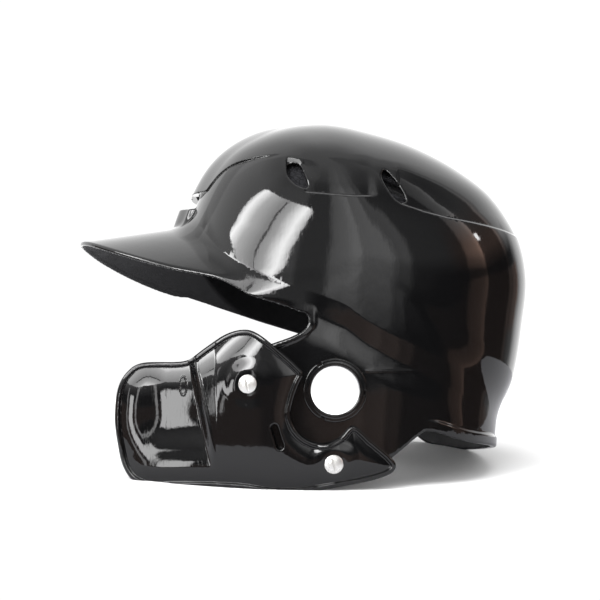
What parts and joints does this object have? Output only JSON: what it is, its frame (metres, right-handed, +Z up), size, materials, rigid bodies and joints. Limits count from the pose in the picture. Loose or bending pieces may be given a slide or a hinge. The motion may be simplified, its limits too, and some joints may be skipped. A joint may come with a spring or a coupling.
{
  "type": "batting helmet",
  "caption": "Gloss black batting helmet with brim, one ear flap on the wearer's left, and a bolt-on curved jaw guard, lying on its guard and right rear rim.",
  "frame": {"origin": "on the surface the helmet rests on, under the middle of its outline seen from above", "axes": "+Z up from that surface, the wearer's front and the brim towards -Y, the wearer's left, with the ear flap and jaw guard, towards +X; the helmet leans 10.5 degrees onto its right side"},
  "size_m": [0.2318, 0.2956, 0.2244],
  "materials": {
    "gloss_black": "high gloss moulded ABS",
    "guard_black": "high gloss moulded polycarbonate",
    "nickel": "bright nickel plate",
    "zinc": "zinc plate",
    "rubber_black": "matt",
    "foam_grey": "expanded bead foam",
    "fabric_black": "knitted mesh over foam",
    "vinyl_black": "soft vinyl over foam",
    "hook_loop": "hook-and-loop"
  },
  "bodies": {
    "helmet": {"shell": "gloss_black", "ear_hole_ring": "gloss_black", "jaw_guard": "guard_black", "front_tee_nut": "zinc", "rear_tee_nut": "zinc", "front_guard_washer": "rubber_black", "rear_guard_washer": "rubber_black", "front_liner": "foam_grey", "left_liner": "foam_grey", "rear_liner": "foam_grey", "right_liner": "foam_grey", "crown_liner": "foam_grey", "brow_pad": "fabric_black", "left_temple_pad": "fabric_black", "right_temple_pad": "fabric_black", "nape_pad": "fabric_black", "crown_pad": "fabric_black", "ear_flap_pad": "vinyl_black", "crown_pad_dot_1": "hook_loop", "crown_pad_dot_2": "hook_loop", "crown_pad_dot_3": "hook_loop", "crown_pad_dot_4": "hook_loop"},
    "front_screw": {"front_guard_screw": "nickel"},
    "rear_screw": {"rear_guard_screw": "nickel"}
  },
  "joints": [
    {"name": "front_screw_turn", "type": "hinge", "parent": "helmet", "child": "front_screw", "pos_m": [0.09527, -0.0418, 0.064], "axis": [0.9369, -0.3284, 0.12], "continuous": true},
    {"name": "rear_screw_turn", "type": "hinge", "parent": "helmet", "child": "rear_screw", "pos_m": [0.10779, 0.0087, 0.01618], "axis": [0.9954, -0.0896, 0.0329], "continuous": true}
  ]
}
